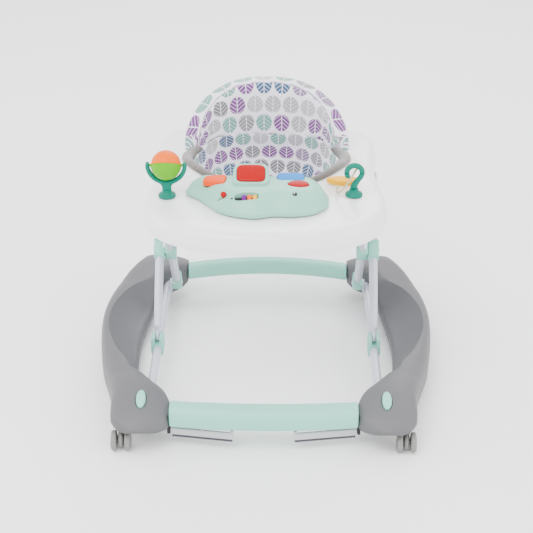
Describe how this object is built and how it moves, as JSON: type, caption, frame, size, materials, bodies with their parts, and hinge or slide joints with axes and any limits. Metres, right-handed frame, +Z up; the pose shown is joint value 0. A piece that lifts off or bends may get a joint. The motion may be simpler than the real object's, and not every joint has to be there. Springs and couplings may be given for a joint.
{
  "type": "baby walker",
  "caption": "Folding baby walker with rocker side shells, scissor legs, an activity tray and a padded fabric seat in a raised collar.",
  "frame": {"origin": "on the floor under the middle of the base's bounding box", "axes": "+X towards the right-hand shell as the walker is seen from its front, +Y from the front towards the seat back, +Z up"},
  "size_m": [0.7158, 0.716, 0.57],
  "materials": {
    "grey_shell": "fine matte grain",
    "mint": "satin",
    "tube": "silver-white powder coat",
    "strip": "satin",
    "grip_rubber": "matte",
    "castor_grey": "satin",
    "tray_white": "smooth",
    "key_orange": "smooth",
    "red": "glossy",
    "blue": "smooth",
    "black": "glossy",
    "bead_purple": "glossy",
    "orange": "smooth",
    "yellow": "smooth",
    "teal": "smooth",
    "lime": "smooth",
    "cream": "woven",
    "printed_fabric": "white woven cloth printed with leaves",
    "trim_fabric": "padded warm grey cloth"
  },
  "bodies": {
    "base": {"side_shell_right": "grey_shell", "side_shell_left": "grey_shell", "front_crossbar": "mint", "rear_crossbar": "mint", "front_cross_tube": "tube", "rear_cross_tube": "tube", "brake_strip_right": "strip", "brake_strip_left": "strip", "strip_rubber_right": "grip_rubber", "strip_rubber_left": "grip_rubber", "base_rail_right": "tube", "base_rail_left": "tube"},
    "button_right": {"release_button_right": "mint"},
    "button_left": {"release_button_left": "mint"},
    "castor_front_right": {"front_castor_fork_right": "castor_grey"},
    "wheels_front_right": {"front_wheel_set_right": "castor_grey"},
    "castor_front_left": {"front_castor_fork_left": "castor_grey"},
    "wheels_front_left": {"front_wheel_set_left": "castor_grey"},
    "castor_rear_right": {"rear_castor_fork_right": "castor_grey"},
    "wheels_rear_right": {"rear_wheel_set_right": "castor_grey"},
    "castor_rear_left": {"rear_castor_fork_left": "castor_grey"},
    "wheels_rear_left": {"rear_wheel_set_left": "castor_grey"},
    "rear_legs": {"rear_leg_right": "tube", "rear_leg_left": "tube", "rear_foot_right": "mint", "rear_foot_left": "mint", "inner_cross_block_right": "mint", "inner_cross_block_left": "mint"},
    "front_legs": {"front_leg_right": "tube", "front_leg_left": "tube", "outer_cross_block_right": "mint", "outer_cross_block_left": "mint"},
    "height_sliders": {"height_slider_right": "mint", "height_slider_left": "mint"},
    "tray": {"tray_top": "tray_white", "tray_base": "tray_white", "panel_housing": "mint", "panel_eye": "black", "bead_rod": "tube", "spinner_yoke": "teal", "hook_stand": "teal", "hook_strap": "cream", "teether": "yellow", "seat_sling": "printed_fabric", "seat_back": "printed_fabric", "seat_trim": "trim_fabric"},
    "orange_key_body": {"orange_key": "key_orange"},
    "screen_key_body": {"screen_key": "red"},
    "blue_key_body": {"blue_key": "blue"},
    "oval_button_body": {"oval_button": "red"},
    "slider_knob_body": {"slider_knob": "red"},
    "bead_purple_body": {"bead_purple": "bead_purple"},
    "bead_orange_body": {"bead_orange": "orange"},
    "bead_yellow_body": {"bead_yellow": "yellow"},
    "spinner_ball": {"ball_top": "orange", "ball_bottom": "lime"}
  },
  "joints": [
    {"name": "fold", "type": "hinge", "parent": "base", "child": "rear_legs", "pos_m": [0, 0.216, 0.076], "axis": [1, 0, 0], "range_deg": [0, 36.3]},
    {"name": "crossing", "type": "hinge", "parent": "rear_legs", "child": "front_legs", "pos_m": [0, 0.09144, 0.22603], "axis": [1, 0, 0], "range_deg": [-72.7, 0]},
    {"name": "tray_hinge", "type": "hinge", "parent": "front_legs", "child": "tray", "pos_m": [0, 0.216, 0.37606], "axis": [1, 0, 0], "range_deg": [0, 36.4]},
    {"name": "slider_hinge", "type": "hinge", "parent": "front_legs", "child": "height_sliders", "pos_m": [0, -0.03312, 0.076], "axis": [1, 0, 0], "range_deg": [0, 36.4]},
    {"name": "castor_swivel_front_right", "type": "hinge", "parent": "base", "child": "castor_front_right", "pos_m": [0.28, -0.318, 0.03], "axis": [0, 0, 1], "continuous": true},
    {"name": "wheel_spin_front_right", "type": "hinge", "parent": "castor_front_right", "child": "wheels_front_right", "pos_m": [0.28, -0.33, 0.02], "axis": [1, 0, 0], "continuous": true},
    {"name": "castor_swivel_front_left", "type": "hinge", "parent": "base", "child": "castor_front_left", "pos_m": [-0.28, -0.318, 0.03], "axis": [0, 0, 1], "continuous": true},
    {"name": "wheel_spin_front_left", "type": "hinge", "parent": "castor_front_left", "child": "wheels_front_left", "pos_m": [-0.28, -0.33, 0.02], "axis": [1, 0, 0], "continuous": true},
    {"name": "castor_swivel_rear_right", "type": "hinge", "parent": "base", "child": "castor_rear_right", "pos_m": [0.28, 0.318, 0.03], "axis": [0, 0, 1], "continuous": true},
    {"name": "wheel_spin_rear_right", "type": "hinge", "parent": "castor_rear_right", "child": "wheels_rear_right", "pos_m": [0.28, 0.33, 0.02], "axis": [1, 0, 0], "continuous": true},
    {"name": "castor_swivel_rear_left", "type": "hinge", "parent": "base", "child": "castor_rear_left", "pos_m": [-0.28, 0.318, 0.03], "axis": [0, 0, 1], "continuous": true},
    {"name": "wheel_spin_rear_left", "type": "hinge", "parent": "castor_rear_left", "child": "wheels_rear_left", "pos_m": [-0.28, 0.33, 0.02], "axis": [1, 0, 0], "continuous": true},
    {"name": "button_press_right", "type": "slide", "parent": "base", "child": "button_right", "axis": [0, 0.352, -0.936], "range_m": [0, 0.003], "stiffness_N_per_m": 300},
    {"name": "button_press_left", "type": "slide", "parent": "base", "child": "button_left", "axis": [0, 0.352, -0.936], "range_m": [0, 0.003], "stiffness_N_per_m": 300},
    {"name": "orange_key_press", "type": "slide", "parent": "tray", "child": "orange_key_body", "axis": [0, 0, -1], "range_m": [0, 0.0025], "stiffness_N_per_m": 300},
    {"name": "screen_key_press", "type": "slide", "parent": "tray", "child": "screen_key_body", "axis": [0, 0, -1], "range_m": [0, 0.0025], "stiffness_N_per_m": 300},
    {"name": "blue_key_press", "type": "slide", "parent": "tray", "child": "blue_key_body", "axis": [0, 0, -1], "range_m": [0, 0.0025], "stiffness_N_per_m": 300},
    {"name": "oval_button_press", "type": "slide", "parent": "tray", "child": "oval_button_body", "axis": [0, 0, -1], "range_m": [0, 0.0025], "stiffness_N_per_m": 300},
    {"name": "knob_slide", "type": "slide", "parent": "tray", "child": "slider_knob_body", "axis": [1, 0, 0], "range_m": [-0.01, 0]},
    {"name": "bead_purple_spin", "type": "hinge", "parent": "tray", "child": "bead_purple_body", "pos_m": [-0.04, -0.147, 0.458], "axis": [1, 0, 0], "continuous": true},
    {"name": "bead_orange_spin", "type": "hinge", "parent": "tray", "child": "bead_orange_body", "pos_m": [-0.0295, -0.147, 0.458], "axis": [1, 0, 0], "continuous": true},
    {"name": "bead_yellow_spin", "type": "hinge", "parent": "tray", "child": "bead_yellow_body", "pos_m": [-0.019, -0.147, 0.458], "axis": [1, 0, 0], "continuous": true},
    {"name": "ball_spin", "type": "hinge", "parent": "tray", "child": "spinner_ball", "pos_m": [-0.195, -0.076, 0.497], "axis": [1, 0, 0], "continuous": true}
  ],
  "couplings": [
    {"joint": "crossing", "follows": "fold", "ratio": -2},
    {"joint": "tray_hinge", "follows": "fold", "ratio": 1},
    {"joint": "slider_hinge", "follows": "fold", "ratio": 1}
  ]
}
